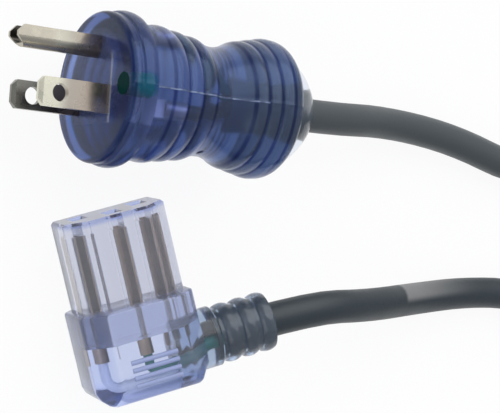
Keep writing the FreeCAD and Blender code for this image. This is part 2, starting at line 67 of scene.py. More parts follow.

# %% [markdown]
# ## The cord
# The cord is one round PVC jacket from the plug to the connector. It is a NURBS curve with a round
# bevel, so its middle line is exact and it can be laid again. Each point carries the cord's radius, so
# that the curve's own box is as thick as the cord. The two loose stretches follow points that were
# chosen, and the second one ends in the connector, which lies on the edge of its heel. The rest is wound
# by a loop, round two bends with straight sides between them: a spiral inwards on the table, one turn
# that climbs, and a spiral outwards on top of it.

# %% Where the connector lies, in millimetres
elbow_half = 13.5
elbow_depth = 10.25
heel_bevel = 1.4
connector_turn = math.radians(20.0)
connector_tilt = math.radians(15.0)
connector_rest = ((elbow_half - heel_bevel) * math.sin(connector_tilt)
                  + elbow_depth * math.cos(connector_tilt))
connector_lay = (Matrix.Translation((2.6, -58.8, connector_rest))
                 @ Matrix.Rotation(connector_turn, 4, "Z")
                 @ Matrix.Rotation(-connector_tilt, 4, "Y"))
print("connector's middle above the table:", round(connector_rest, 2))

# %% Loose stretches of the cord, in millimetres
cord_diameter = 8.0
from_plug = [
    (14.3, 0, 17.6), (46.3, 0, 17.6), (72, 2.8, 6.5), (97, 1, 4),
    (120, -5.5, 4), (142, -1, 4), (164, 11.5, 4.8), (187.5, 13, 5.2),
]
to_connector = [
    (187.5, -67, 13.2), (164, -62, 9), (144, -47, 4.8), (123, -37.2, 4),
    (104, -37.9, 4), (84, -40.8, 7.5), (61, -43.6, 19),
]
before_relief = 41.5
cord_end = 17.0
into_connector = [connector_lay @ Vector((reach, 0, 0)) for reach in (before_relief, cord_end)]
print("points of the loose stretches:", len(from_plug) + len(to_connector) + len(into_connector))

# %% Coil, in millimetres
coil_middle = Vector((215.0, -27.0, 0.0))
half_straight = 27.5
outer_turn = 40.0
lower_layer = 5.2
upper_layer = 13.2
points_per_turn = 18
turns = 4.5
flat_turns = (turns - 1) / 2


def coil_point(done):
    """The middle line of the coil after so many turns from the outside."""
    climb = min(max(done - flat_turns, 0.0), 1.0)
    inwards = min(done, flat_turns) - max(done - flat_turns - 1, 0.0)
    radius = outer_turn - cord_diameter * inwards - 0.5 * cord_diameter * math.sin(math.pi * climb)
    height = lower_layer + (upper_layer - lower_layer) * (1 - math.cos(math.pi * climb)) / 2
    angle = math.radians(90 - 360 * done)
    # A curve of this order runs inside its points, so they stand further out by that share.
    reach = radius / (0.75 + 0.25 * math.cos(2 * math.pi / points_per_turn))
    side = math.copysign(half_straight, math.cos(angle))
    return coil_middle + Vector((side + reach * math.cos(angle), reach * math.sin(angle), height))


wound = [coil_point((step + 0.5) / points_per_turn) for step in range(round(turns * points_per_turn))]
route = [Vector(p) / 1000 for p in from_plug + wound + to_connector + into_connector]
print("cord points:", len(route), "turns:", turns)

# %% Cord curve
cord_curve = bpy.data.curves.new("grey_cord", "CURVE")
cord_curve.dimensions = "3D"
cord_curve.bevel_depth = 1.0
cord_curve.bevel_resolution = 7
cord_curve.resolution_u = 5
cord_curve.use_fill_caps = True
spline = cord_curve.splines.new("NURBS")
spline.points.add(len(route) - 1)
for control, place in zip(spline.points, route):
    control.co = (*place, 1.0)
    control.radius = cord_diameter / 2000
spline.order_u = 3
spline.use_endpoint_u = True
cord = bpy.data.objects.new("grey_cord", cord_curve)
bpy.context.scene.collection.objects.link(cord)
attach(cord, "root")
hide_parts("cord_plug_run", "cord_coil", "cord_connector_run")

# %% [markdown]
# ## Floor, backdrop and light
# The photograph is a cut-out on white, so the floor is white to the eye, in the plastics and in the
# metal, and still a plain white sheet to the light: it keeps a faint shadow. Two broad lamps, a small
# one for the blades and an even sky light the object.

# %% Floor
bpy.ops.mesh.primitive_plane_add(size=2.4, location=(0.12, -0.02, 0.0))
floor = bpy.context.object
floor.name = "white_floor"
paper = bpy.data.materials.new("white_paper")
paper.use_nodes = True
tree = paper.node_tree
sheet = tree.nodes["Principled BSDF"]
sheet.inputs["Base Color"].default_value = (0.9, 0.9, 0.9, 1)
sheet.inputs["Roughness"].default_value = 0.9
sheet.inputs["Specular IOR Level"].default_value = 0.0
glow = tree.nodes.new("ShaderNodeEmission")
seen = tree.nodes.new("ShaderNodeLightPath")
seen_through = tree.nodes.new("ShaderNodeMath")
seen_through.operation = "MAXIMUM"
looked_at = tree.nodes.new("ShaderNodeMath")
looked_at.operation = "MAXIMUM"
share = tree.nodes.new("ShaderNodeMath")
share.operation = "MULTIPLY"
share.inputs[1].default_value = 0.92
mix = tree.nodes.new("ShaderNodeMixShader")
tree.links.new(seen.outputs["Is Transmission Ray"], seen_through.inputs[0])
tree.links.new(seen.outputs["Is Glossy Ray"], seen_through.inputs[1])
tree.links.new(seen.outputs["Is Camera Ray"], looked_at.inputs[0])
tree.links.new(seen_through.outputs[0], looked_at.inputs[1])
tree.links.new(looked_at.outputs[0], share.inputs[0])
tree.links.new(share.outputs[0], mix.inputs[0])
tree.links.new(sheet.outputs[0], mix.inputs[1])
tree.links.new(glow.outputs[0], mix.inputs[2])
tree.links.new(mix.outputs[0], tree.nodes["Material Output"].inputs["Surface"])
floor.data.materials.append(paper)
print("floor:", [round(v, 2) for v in floor.dimensions])

# %% Sky and lamps
world = bpy.data.worlds.new("soft_sky")
bpy.context.scene.world = world
world.use_nodes = True
sky = world.node_tree.nodes["Background"]
sky.inputs["Color"].default_value = (0.92, 0.95, 1.0, 1)
sky.inputs["Strength"].default_value = 0.5


def soft_lamp(name, place, target, size, power):
    """A square lamp at a place in metres, turned to its target."""
    data = bpy.data.lights.new(name, "AREA")
    data.size = size
    data.energy = power
    lamp = bpy.data.objects.new(name, data)
    bpy.context.scene.collection.objects.link(lamp)
    lamp.location = place
    lamp.rotation_euler = (Vector(target) - Vector(place)).to_track_quat("-Z", "Y").to_euler()


both_ends = (0.02, -0.02, 0.01)
soft_lamp("window_light", (0.2, 0.9, 1.0), both_ends, 1.5, 14.0)
soft_lamp("fill_light", (-0.9, -0.7, 0.9), both_ends, 1.4, 6.0)
soft_lamp("blade_light", (0.55, 0.06, 0.85), (-0.02, 0.0, 0.02), 0.5, 0.15)
bpy.context.scene.view_settings.view_transform = "Standard"
print("lamps:", len(bpy.data.lights))

# %% [markdown]
# ## The plug's skin
# The moulded body is a turned form. Its half section is drawn from the face to the tail: a vertex is
# extruded along it, and the outline is spun about the plug's axis. The body isn't hollowed, so the
# blades, the conductors and the cord stand in one clear mass, as in a real overmould. The end behind the
# rear flange is almost colourless in the photograph, so it is a piece of its own. A fine seam runs
# along the body, and a small round dimple in the waist shows where the plastic was let into the mould.


# %% Helpers for turned and joined pieces
def bulge(start, end, crown, count=6):
    """Points on a shallow arc after its start: along the axis, and out from it."""
    along = end[0] - start[0]
    out = end[1] - start[1]
    chord = math.hypot(along, out)
    points = []
    for step in range(1, count + 1):
        share = step / count
        rise = 4 * crown * share * (1 - share) / chord
        points.append((start[0] + share * along - rise * out, start[1] + share * out + rise * along))
    return points


def turned(name, profile, axis_start, steps):
    """A closed solid of revolution about a line along X, from a profile in millimetres."""
    bpy.ops.object.select_all(action="DESELECT")
    bpy.ops.mesh.primitive_plane_add(size=0.001, location=(0, 0, 0))
    piece = bpy.context.object
    piece.name = name
    bpy.ops.object.mode_set(mode="EDIT")
    bpy.ops.mesh.merge(type="CENTER")
    corners = [(Vector(axis_start) + Vector((along, 0, out))) / 1000 for along, out in profile]
    bpy.ops.transform.translate(value=corners[0])
    for before, after in zip(corners, corners[1:]):
        bpy.ops.mesh.extrude_vertices_move(TRANSFORM_OT_translate={"value": after - before})
    bpy.ops.mesh.select_all(action="SELECT")
    bpy.ops.mesh.spin(steps=steps, angle=2 * math.pi, center=Vector(axis_start) / 1000, axis=(1, 0, 0))
    bpy.ops.mesh.select_all(action="SELECT")
    bpy.ops.mesh.remove_doubles(threshold=1e-6)
    bpy.ops.mesh.normals_make_consistent(inside=False)
    bpy.ops.object.mode_set(mode="OBJECT")
    bpy.ops.object.shade_smooth_by_angle(angle=math.radians(28))
    return piece


def joined(piece, other, operation="UNION"):
    """Joins another solid to a piece, or cuts it out, and removes the other."""
    modifier = piece.modifiers.new("join", "BOOLEAN")
    modifier.operation = operation
    modifier.object = other
    bpy.ops.object.select_all(action="DESELECT")
    bpy.context.view_layer.objects.active = piece
    bpy.ops.object.modifier_apply(modifier=modifier.name)
    bpy.data.objects.remove(other)


# %% Plug body, in millimetres from its face and out from its axis
plug_face = (-17.8, 0, 17.6)
plug_steps = 96
face_gap = 0.05
ridges_from = (12.0, 15.3)
ridge_pitch = 4.1
ridge_fall = 0.65
rings_from = (34.1, 14.2)
ring_pitch = 3.1
ring_rise = 0.7
flange_end = (47.1, 13.8)
body_end = (56.1, 5.2)
outline = [(face_gap, 0), (face_gap, 15.8)]
outline += bulge((face_gap, 15.8), (1.2, 17.0), 0.35)
outline.append((2.2, 17.0))
outline += bulge((2.2, 17.0), (3.4, 17.25), -0.4)
outline += bulge((3.4, 17.25), (6.4, 17.35), 0.3)
outline += [(6.9, 15.5), ridges_from]
for ridge in range(3):
    foot = (ridges_from[0] + ridge_pitch * ridge, ridges_from[1] - ridge_fall * ridge)
    outline += bulge(foot, (foot[0] + ridge_pitch, foot[1] - ridge_fall), 0.55)
outline += bulge((24.3, 13.35), rings_from, -1.13, 12)
for ring in range(3):
    foot = (rings_from[0] + ring_pitch * ring, rings_from[1] + ring_rise * ring)
    outline += bulge(foot, (foot[0] + ring_pitch, foot[1] + ring_rise), 0.32)
outline += bulge((43.4, 16.3), flange_end, 0.75)
outline.append((flange_end[0], 0))
end_start = flange_end[0] + face_gap
pale_end = [(end_start, 0), (end_start, flange_end[1])]
pale_end += bulge((end_start, flange_end[1]), body_end, 0.9, 10)
pale_end.append((body_end[0], 0))
tail_skin = turned("tail_skin", pale_end, plug_face, plug_steps)
plug_skin = turned("plug_skin", outline, plug_face, plug_steps)
print("points of the outline:", len(outline), "and of the pale end:", len(pale_end))

# %% Mould seam
seam_half = 0.00016
seam_height = 0.0001
frost_from = 0.009
frost_to = 0.0373
plug_axis = plug_face[2] / 1000
# The plug's skin was made last, so it is the active object here.
bpy.ops.object.mode_set(mode="EDIT")
for side in (-1, 1):
    bpy.ops.mesh.select_all(action="SELECT")
    bpy.ops.mesh.bisect(plane_co=(0, side * seam_half, 0), plane_no=(0, 1, 0))
for side in (-1, 1):
    bpy.ops.mesh.select_all(action="DESELECT")
    bpy.ops.object.mode_set(mode="OBJECT")
    for vertex in plug_skin.data.vertices:
        vertex.select = abs(vertex.co.y) < 1e-6 and side * (vertex.co.z - plug_axis) > 0.005
    bpy.ops.object.mode_set(mode="EDIT")
    bpy.ops.transform.translate(value=(0, 0, side * seam_height))
bpy.ops.object.mode_set(mode="OBJECT")
for face in plug_skin.data.polygons:
    along_body = face.center.x - plug_face[0] / 1000
    on_seam = abs(face.center.y) < seam_half and frost_from < along_body < frost_to
    face.material_index = int(on_seam)
print("frosted faces:", sum(face.material_index for face in plug_skin.data.polygons))

# %% Gate mark
gate_mark = Vector((0.00818, -0.01199, 0.02227))
gate_out = Vector((0.206, -0.911, 0.355))
gate_ball = 0.0015
gate_depth = 0.00034
bpy.ops.object.select_all(action="DESELECT")
bpy.ops.mesh.primitive_uv_sphere_add(segments=32, ring_count=16, radius=gate_ball,
                                     location=gate_mark + (gate_ball - gate_depth) * gate_out)
ball = bpy.context.object
bpy.ops.object.transform_apply(location=True, rotation=True, scale=True)
bpy.ops.object.shade_smooth()
joined(plug_skin, ball, "DIFFERENCE")
for piece in (plug_skin, tail_skin):
    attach(piece, "root")
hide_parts("plug_body")
print("plug skin faces:", len(plug_skin.data.polygons))

# %% [markdown]
# ## The connector's skin
# The elbow starts as a block. Flat cuts take its bevels, its foot and its corner away, small bevels
# soften what is left, and the finger grips are joined to it. The strain relief is turned like the plug:
# it is an inner moulding of darker plastic that starts inside the elbow. All of it is modelled upright
# at the origin, and then turned and tilted to the way in which the connector lies.


# %% Elbow
def cut_away(point, direction):
    """Cuts the active piece at a plane, in millimetres, drops what lies beyond and closes the cut."""
    bpy.ops.object.mode_set(mode="EDIT")
    bpy.ops.mesh.select_all(action="SELECT")
    bpy.ops.mesh.bisect(plane_co=Vector(point) / 1000, plane_no=direction,
                        use_fill=True, clear_outer=True)
    bpy.ops.object.mode_set(mode="OBJECT")


elbow_top = 13.0
elbow_low = -8.2
upper_bevel = 5.2
foot_bevel = 3.2
corner_bevel = 3.6
heel_radius = 4.5
bpy.ops.object.select_all(action="DESELECT")
bpy.ops.mesh.primitive_cube_add(size=0.001, location=(0, (elbow_top + elbow_low) / 2000, 0),
                                scale=(2 * elbow_half, elbow_top - elbow_low, 2 * elbow_depth))
elbow = bpy.context.object
elbow.name = "connector_skin"
bpy.ops.object.transform_apply(location=True, rotation=True, scale=True)
for side in (-1, 1):
    cut_away((side * (elbow_half - upper_bevel), 0, elbow_depth), (side, 0, 1))
    cut_away((side * (elbow_half - heel_bevel), 0, -elbow_depth), (side, 0, -1))
    cut_away((0, elbow_low + foot_bevel, side * elbow_depth), (0, -1, side))
cut_away((elbow_half - corner_bevel, elbow_low, 0), (1, -1, 0))
for degrees in (22.5, 45, 67.5):
    heel = Vector((-math.cos(math.radians(degrees)), -math.sin(math.radians(degrees)), 0))
    heel_middle = Vector((heel_radius - elbow_half, elbow_low + heel_radius, 0))
    cut_away(heel_middle + heel_radius * heel, heel)
softened = elbow.modifiers.new("softened", "BEVEL")
softened.width = 0.0006
softened.segments = 3
softened.limit_method = "ANGLE"
softened.angle_limit = math.radians(25)
bpy.ops.object.modifier_apply(modifier=softened.name)
print("elbow faces:", len(elbow.data.polygons))

# %% Strain relief, in millimetres
relief_start = 6.0
relief_radius = 7.0
collar_end = 17.5
rib_pitch = 13 / 3
sleeve = [(relief_start, 0), (relief_start, relief_radius),
          (collar_end - 0.3, relief_radius), (collar_end, 6.75)]
for rib in range(3):
    groove = collar_end + rib_pitch * rib
    sleeve += [(groove + 0.25, 6.15), (groove + 1.05, 6.15), (groove + 1.3, 6.55)]
    sleeve += bulge((groove + 1.3, 6.55), (groove + rib_pitch, 6.55), 0.35)
sleeve.append((collar_end + 3 * rib_pitch, 0))
relief = turned("relief_sleeve", sleeve, (0, 0, 0), 64)
print("relief faces:", len(relief.data.polygons))

# %% Finger grips
first_grip = elbow_low + 4.0
grip_pitch = 1.8
grip_floor = elbow_depth / 1000
for ridge in range(4):
    bpy.ops.object.select_all(action="DESELECT")
    grip_middle = (0, (first_grip + grip_pitch * ridge) / 1000, grip_floor)
    bpy.ops.mesh.primitive_cylinder_add(vertices=24, radius=0.00055, depth=0.011,
                                        location=grip_middle, rotation=(0, math.pi / 2, 0))
    grip = bpy.context.object
    bpy.ops.object.transform_apply(location=True, rotation=True, scale=True)
    joined(elbow, grip)
for face in elbow.data.polygons:
    face.material_index = int(face.center.z > grip_floor + 0.0001)
print("frosted grip faces:", sum(face.material_index for face in elbow.data.polygons))

# %% Lay the connector
turn_and_tilt = connector_lay.copy()
turn_and_tilt.translation /= 1000
for piece in (elbow, relief):
    bpy.ops.object.select_all(action="DESELECT")
    piece.select_set(True)
    bpy.context.view_layer.objects.active = piece
    bpy.ops.object.shade_smooth_by_angle(angle=math.radians(28))
    piece.matrix_world = turn_and_tilt
    bpy.ops.object.transform_apply(location=True, rotation=True, scale=True)
    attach(piece, "root")
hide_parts("connector_body")
print("connector skin faces:", len(elbow.data.polygons))

# %% [markdown]
# ## Finishes
# Moulded plastic is never quite even: its gloss changes a little over the surface. One node group
# makes that slow change, and every finish takes it with its own scale and strength. A second group makes
# soft patches, for the grain of the cord, the straps and the plating and for the frost on the seam.

# %% Shared group for uneven gloss
uneven = bpy.data.node_groups.new("uneven_skin", "ShaderNodeTree")
uneven.interface.new_socket("Scale", in_out="INPUT", socket_type="NodeSocketFloat")
uneven.interface.new_socket("Low", in_out="INPUT", socket_type="NodeSocketFloat")
uneven.interface.new_socket("High", in_out="INPUT", socket_type="NodeSocketFloat")
uneven.interface.new_socket("Value", in_out="OUTPUT", socket_type="NodeSocketFloat")
group_in = uneven.nodes.new("NodeGroupInput")
group_out = uneven.nodes.new("NodeGroupOutput")
group_place = uneven.nodes.new("ShaderNodeTexCoord")
group_noise = uneven.nodes.new("ShaderNodeTexNoise")
group_noise.inputs["Detail"].default_value = 3.0
group_range = uneven.nodes.new("ShaderNodeMapRange")
group_range.inputs["From Min"].default_value = 0.3
group_range.inputs["From Max"].default_value = 0.7
uneven.links.new(group_place.outputs["Object"], group_noise.inputs["Vector"])
uneven.links.new(group_in.outputs["Scale"], group_noise.inputs["Scale"])
uneven.links.new(group_noise.outputs["Fac"], group_range.inputs["Value"])
uneven.links.new(group_in.outputs["Low"], group_range.inputs["To Min"])
uneven.links.new(group_in.outputs["High"], group_range.inputs["To Max"])
uneven.links.new(group_range.outputs["Result"], group_out.inputs["Value"])
print("sockets of the gloss group:", len(uneven.interface.items_tree))

# %% Shared group for soft patches
soft_patches = bpy.data.node_groups.new("soft_patches", "ShaderNodeTree")
soft_patches.interface.new_socket("Scale", in_out="INPUT", socket_type="NodeSocketFloat")
soft_patches.interface.new_socket("Value", in_out="OUTPUT", socket_type="NodeSocketFloat")
patch_in = soft_patches.nodes.new("NodeGroupInput")
patch_out = soft_patches.nodes.new("NodeGroupOutput")
patch_place = soft_patches.nodes.new("ShaderNodeTexCoord")
patch_noise = soft_patches.nodes.new("ShaderNodeTexNoise")
soft_patches.links.new(patch_place.outputs["Object"], patch_noise.inputs["Vector"])
soft_patches.links.new(patch_in.outputs["Scale"], patch_noise.inputs["Scale"])
soft_patches.links.new(patch_noise.outputs["Fac"], patch_out.inputs["Value"])
print("sockets of the patch group:", len(soft_patches.interface.items_tree))


# %% Helpers for finishes
def finish_with(name, colour, scale, gloss):
    """A finish of one colour whose roughness changes between two values."""
    material = bpy.data.materials.new(name)
    material.use_nodes = True
    shader = material.node_tree.nodes["Principled BSDF"]
    shader.inputs["Base Color"].default_value = (*colour, 1)
    skin = material.node_tree.nodes.new("ShaderNodeGroup")
    skin.node_tree = uneven
    skin.inputs["Scale"].default_value = scale
    skin.inputs["Low"].default_value = gloss[0]
    skin.inputs["High"].default_value = gloss[1]
    material.node_tree.links.new(skin.outputs["Value"], shader.inputs["Roughness"])
    return material, shader


def clear_finish(name, colour, gloss, tint, density, clearness, bend=1.46):
    """Clear plastic: it bends light, takes colour with depth, and lets lamps through to its inside."""
    material, shader = finish_with(name, colour, 90.0, gloss)
    tree = material.node_tree
    shader.inputs["Transmission Weight"].default_value = clearness
    shader.inputs["IOR"].default_value = bend
    depth = tree.nodes.new("ShaderNodeVolumeAbsorption")
    depth.inputs["Color"].default_value = (*tint, 1)
    depth.inputs["Density"].default_value = density
    window = tree.nodes.new("ShaderNodeBsdfTransparent")
    window.inputs["Color"].default_value = (*colour, 1)
    path = tree.nodes.new("ShaderNodeLightPath")
    pass_through = tree.nodes.new("ShaderNodeMixShader")
    output = tree.nodes["Material Output"]
    tree.links.new(path.outputs["Is Shadow Ray"], pass_through.inputs[0])
    tree.links.new(shader.outputs[0], pass_through.inputs[1])
    tree.links.new(window.outputs[0], pass_through.inputs[2])
    tree.links.new(pass_through.outputs[0], output.inputs["Surface"])
    tree.links.new(depth.outputs[0], output.inputs["Volume"])
    return material, shader


def patches(tree, scale):
    """Soft patches: a value that changes over the surface, at a scale per metre."""
    node = tree.nodes.new("ShaderNodeGroup")
    node.node_tree = soft_patches
    node.inputs["Scale"].default_value = scale
    return node.outputs["Value"]


def grained(material, shader, scale, depth):
    """Gives a finish a fine grain: its scale per metre, and its depth in metres."""
    tree = material.node_tree
    bump = tree.nodes.new("ShaderNodeBump")
    bump.inputs["Distance"].default_value = depth
    tree.links.new(patches(tree, scale), bump.inputs["Height"])
    tree.links.new(bump.outputs["Normal"], shader.inputs["Normal"])


# %% [markdown]
# The photograph shows tones that come from the way in which light runs through the plastic: dark bands
# at the rings, a dark rim, a bluer foot. Here they are painted by place. The next helpers measure
# where a point lies on the piece, and turn that into a share between two colours.


# %% Helpers for tones by place
def ramp(tree, source, start, stop):
    """Passes smoothly from 0 to 1 while a value goes from start to stop."""
    node = tree.nodes.new("ShaderNodeMapRange")
    node.interpolation_type = "SMOOTHSTEP"
    node.inputs["From Min"].default_value = start
    node.inputs["From Max"].default_value = stop
    tree.links.new(source, node.inputs["Value"])
    return node.outputs["Result"]


def product(tree, first, second):
    """Two values multiplied."""
    node = tree.nodes.new("ShaderNodeMath")
    node.operation = "MULTIPLY"
    tree.links.new(first, node.inputs[0])
    tree.links.new(second, node.inputs[1])
    return node.outputs[0]


def places(tree):
    """The X, Y and Z of a point in the object, in metres."""
    place = tree.nodes.new("ShaderNodeTexCoord")
    split = tree.nodes.new("ShaderNodeSeparateXYZ")
    tree.links.new(place.outputs["Object"], split.inputs[0])
    return split.outputs["X"], split.outputs["Y"], split.outputs["Z"]


def reach_along(tree, start, direction):
    """How far a point lies past a start along a direction, in metres."""
    place = tree.nodes.new("ShaderNodeTexCoord")
    offset = tree.nodes.new("ShaderNodeVectorMath")
    offset.operation = "SUBTRACT"
    offset.inputs[1].default_value = start
    reach = tree.nodes.new("ShaderNodeVectorMath")
    reach.operation = "DOT_PRODUCT"
    reach.inputs[1].default_value = direction
    tree.links.new(place.outputs["Object"], offset.inputs[0])
    tree.links.new(offset.outputs["Vector"], reach.inputs[0])
    return reach.outputs["Value"]


def reach_out(tree, height):
    """How far a point lies from a line along X at a height, in metres."""
    place = tree.nodes.new("ShaderNodeTexCoord")
    offset = tree.nodes.new("ShaderNodeVectorMath")
    offset.operation = "MULTIPLY_ADD"
    offset.inputs[1].default_value = (0, 1, 1)
    offset.inputs[2].default_value = (0, 0, -height)
    reach = tree.nodes.new("ShaderNodeVectorMath")
    reach.operation = "LENGTH"
    tree.links.new(place.outputs["Object"], offset.inputs[0])
    tree.links.new(offset.outputs["Vector"], reach.inputs[0])
    return reach.outputs["Value"]


def reach_from(tree, point):
    """How far a place lies from a point, in metres."""
    place = tree.nodes.new("ShaderNodeTexCoord")
    reach = tree.nodes.new("ShaderNodeVectorMath")
    reach.operation = "DISTANCE"
    reach.inputs[1].default_value = point
    tree.links.new(place.outputs["Object"], reach.inputs[0])
    return reach.outputs["Value"]


def near_rings(tree, along, first, pitch, count):
    """Is 1 on a narrow band at each of a row of rings along X, and 0 between them, in metres."""
    last = first + pitch * (count - 1)
    shifted = tree.nodes.new("ShaderNodeMath")
    shifted.operation = "SUBTRACT"
    shifted.inputs[1].default_value = first
    nearest = tree.nodes.new("ShaderNodeMath")
    nearest.operation = "PINGPONG"
    nearest.inputs[1].default_value = pitch / 2
    tree.links.new(along, shifted.inputs[0])
    tree.links.new(shifted.outputs[0], nearest.inputs[0])
    band = ramp(tree, nearest.outputs[0], 0.0007, 0.0002)
    in_row = product(tree, ramp(tree, along, first - 0.001, first - 0.0008),
                     ramp(tree, along, last + 0.001, last + 0.0008))
    return product(tree, band, in_row)


def colour_mix(tree, share, first, second):
    """A colour between two others, each a constant or another node's colour."""
    blend = tree.nodes.new("ShaderNodeMix")
    blend.data_type = "RGBA"
    tree.links.new(share, blend.inputs[0])
    for colour, socket in ((first, blend.inputs[6]), (second, blend.inputs[7])):
        if isinstance(colour, tuple):
            socket.default_value = (*colour, 1)
        else:
            tree.links.new(colour, socket)
    return blend.outputs[2]


# %% [markdown]
# ## The plug's plastics
# The body is a deep blue, with painted shade on its face that darkens towards the lower edge, a painted
# dark rim, and a paler tone behind the waist. Each ring ends in a groove with a painted navy band of
# shade.
# Near the peg, the peg's green seen through the plastic is painted into the blue. The pale end bends
# light less than the body does, because the cord inside it isn't magnified in the photograph, and the
# seam is frosted in patches.

# %% Blue body
plug_blue = (0.43, 0.54, 0.95)
groove_shade_blue = (0.09, 0.13, 0.44)
blue_plastic, blue_shader = clear_finish("blue_moulding", plug_blue, (0.17, 0.25),
                                         (0.02, 0.18, 0.42), 86.0, 0.94)
blue_shader.inputs["Specular Tint"].default_value = (0.45, 0.62, 0.98, 1)
tree = blue_plastic.node_tree
along, across, _ = places(tree)
behind_waist = ramp(tree, along, 0.012, 0.02)
blue = colour_mix(tree, behind_waist, plug_blue, (0.6, 0.74, 1.0))
above_peg = (-0.0138, 0.0, 0.0349)
# Painted: the peg's green, seen through the plastic, tints the blue near the peg.
painted_peg_green = ramp(tree, reach_from(tree, above_peg), 0.0034, 0.0022)
blue = colour_mix(tree, painted_peg_green, blue, (0.1, 0.52, 0.8))
# Painted shade on the face, darker towards its lower edge.
face_shade_mask = ramp(tree, along, -0.0162, -0.0168)
painted_face_shade = ramp(tree, across, 0.008, -0.008)
shaded_face_blue = colour_mix(tree, painted_face_shade, (0.24, 0.34, 0.78), (0.01, 0.08, 0.42))
blue = colour_mix(tree, face_shade_mask, blue, shaded_face_blue)
# Painted shade: a dark rim round the edge of the face.
painted_rim_shade = product(tree, face_shade_mask, ramp(tree, reach_out(tree, plug_axis), 0.0122, 0.0138))
blue = colour_mix(tree, painted_rim_shade, blue, (0.05, 0.09, 0.32))
in_gate = ramp(tree, reach_from(tree, gate_mark), 0.0011, 0.0008)
blue = colour_mix(tree, in_gate, blue, (0.01, 0.018, 0.12))
# Painted shade: a navy band at each ring's groove.
for row_start, pitch in ((ridges_from[0], ridge_pitch), (rings_from[0], ring_pitch)):
    bands = near_rings(tree, along, (plug_face[0] + row_start) / 1000, pitch / 1000, 4)
    blue = colour_mix(tree, bands, blue, groove_shade_blue)
tree.links.new(blue, blue_shader.inputs["Base Color"])
print("nodes in the blue plastic:", len(tree.nodes))

# %% Pale end and seam
pale_plastic, _ = clear_finish("pale_moulding", (0.94, 0.96, 1.0), (0.1, 0.18),
                               (0.2, 0.4, 0.7), 10.0, 1.0, bend=1.24)
frost_gloss = (0.35, 0.5)
seam_frost, frost_shader = finish_with("seam_frost", (0.12, 0.16, 0.29), 400.0, frost_gloss)
tree = seam_frost.node_tree
whitened = ramp(tree, patches(tree, 700.0), 0.4, 0.62)
frost = colour_mix(tree, whitened, (0.05, 0.07, 0.15), (0.2, 0.26, 0.42))
tree.links.new(frost, frost_shader.inputs["Base Color"])
print("nodes in the frost:", len(tree.nodes))

# %% Inner bridge
bridge_plastic, bridge_shader = finish_with("bridge_moulding", (0.2, 0.25, 0.45), 90.0, (0.3, 0.4))
bridge_shader.inputs["Alpha"].default_value = 0.22
tree = bridge_plastic.node_tree
along, _, height = places(tree)
lit_edge = product(tree, ramp(tree, height, 0.0243, 0.0252), ramp(tree, along, -0.0145, -0.0172))
lit_blue = colour_mix(tree, lit_edge, (0.14, 0.18, 0.36), (0.95, 0.97, 1.0))
tree.links.new(lit_blue, bridge_shader.inputs["Base Color"])
print("nodes in the bridge's plastic:", len(tree.nodes))

# %% [markdown]
# ## The connector's plastics
# The elbow is almost clear, with a painted bluer tone at its foot and heel, where the photograph looks
# along the plastic. The strain relief is darker, and the insert is clear with a painted bluer edge at
# its mating side.

# %% Elbow and grips
clear_tone = (0.82, 0.86, 0.97)
clear_plastic, clear_shader = clear_finish("clear_moulding", clear_tone, (0.08, 0.16),
                                           (0.1, 0.25, 0.72), 17.0, 0.92)
tree = clear_plastic.node_tree
elbow_middle = connector_lay.translation / 1000
outwards, upwards, _ = connector_lay.to_3x3().transposed()
# Painted bluer tone at the foot and heel, where the view runs through more plastic.
heel_side = ramp(tree, reach_along(tree, elbow_middle, outwards), -0.0075, -0.011)
foot_side = ramp(tree, reach_along(tree, elbow_middle, upwards), -0.0035, -0.0065)
foot_painted_blue = colour_mix(tree, foot_side, clear_tone, (0.48, 0.56, 0.93))
heel_painted_blue = colour_mix(tree, heel_side, foot_painted_blue, (0.62, 0.7, 0.98))
tree.links.new(heel_painted_blue, clear_shader.inputs["Base Color"])
grip_frost, _ = finish_with("grip_frost", (0.3, 0.35, 0.58), 400.0, frost_gloss)
print("nodes in the clear plastic:", len(tree.nodes))

# %% Relief and insert
sleeve_plastic, _ = clear_finish("sleeve_moulding", (0.7, 0.8, 0.94), (0.1, 0.2),
                                 (0.1, 0.24, 0.42), 55.0, 0.95)
insert_tone = (0.86, 0.88, 0.95)
insert_plastic, insert_shader = clear_finish("clear_insert", insert_tone, (0.05, 0.12),
                                             (0.35, 0.38, 0.55), 34.0, 0.93)
tree = insert_plastic.node_tree
# Painted bluer edge at the mating side, where the view runs through more plastic.
mating_side = ramp(tree, reach_along(tree, elbow_middle, upwards), 0.0322, 0.0334)
insert_painted_blue = colour_mix(tree, mating_side, insert_tone, (0.42, 0.5, 0.85))
tree.links.new(insert_painted_blue, insert_shader.inputs["Base Color"])
print("nodes in the insert's plastic:", len(tree.nodes))

# %% [markdown]
# ## The cord's jacket
# The jacket is a grey PVC with a fine grain. It has painted shade towards the connector, and there a
# stretch of its upper side has a painted highlight of lighter grey, which fades along the cord.

# %% Jacket
jacket_grey = (0.055, 0.066, 0.073)
jacket, jacket_shader = finish_with("grey_jacket", jacket_grey, 60.0, (0.42, 0.52))
tree = jacket.node_tree
along, across, _ = places(tree)
# Painted shade: the jacket is darker slate towards the connector.
connector_shade = product(tree, ramp(tree, across, -0.018, -0.03), ramp(tree, along, 0.17, 0.1))
shaded_slate = colour_mix(tree, connector_shade, jacket_grey, (0.02, 0.03, 0.038))
# Near the connector the cord runs at this slope in X and Y, so Y less slope times X says which side of
# the cord a point lies on.
cord_slope = 0.14
upper_side = tree.nodes.new("ShaderNodeMath")
upper_side.operation = "MULTIPLY_ADD"
upper_side.inputs[1].default_value = -cord_slope
tree.links.new(along, upper_side.inputs[0])
tree.links.new(across, upper_side.inputs[2])
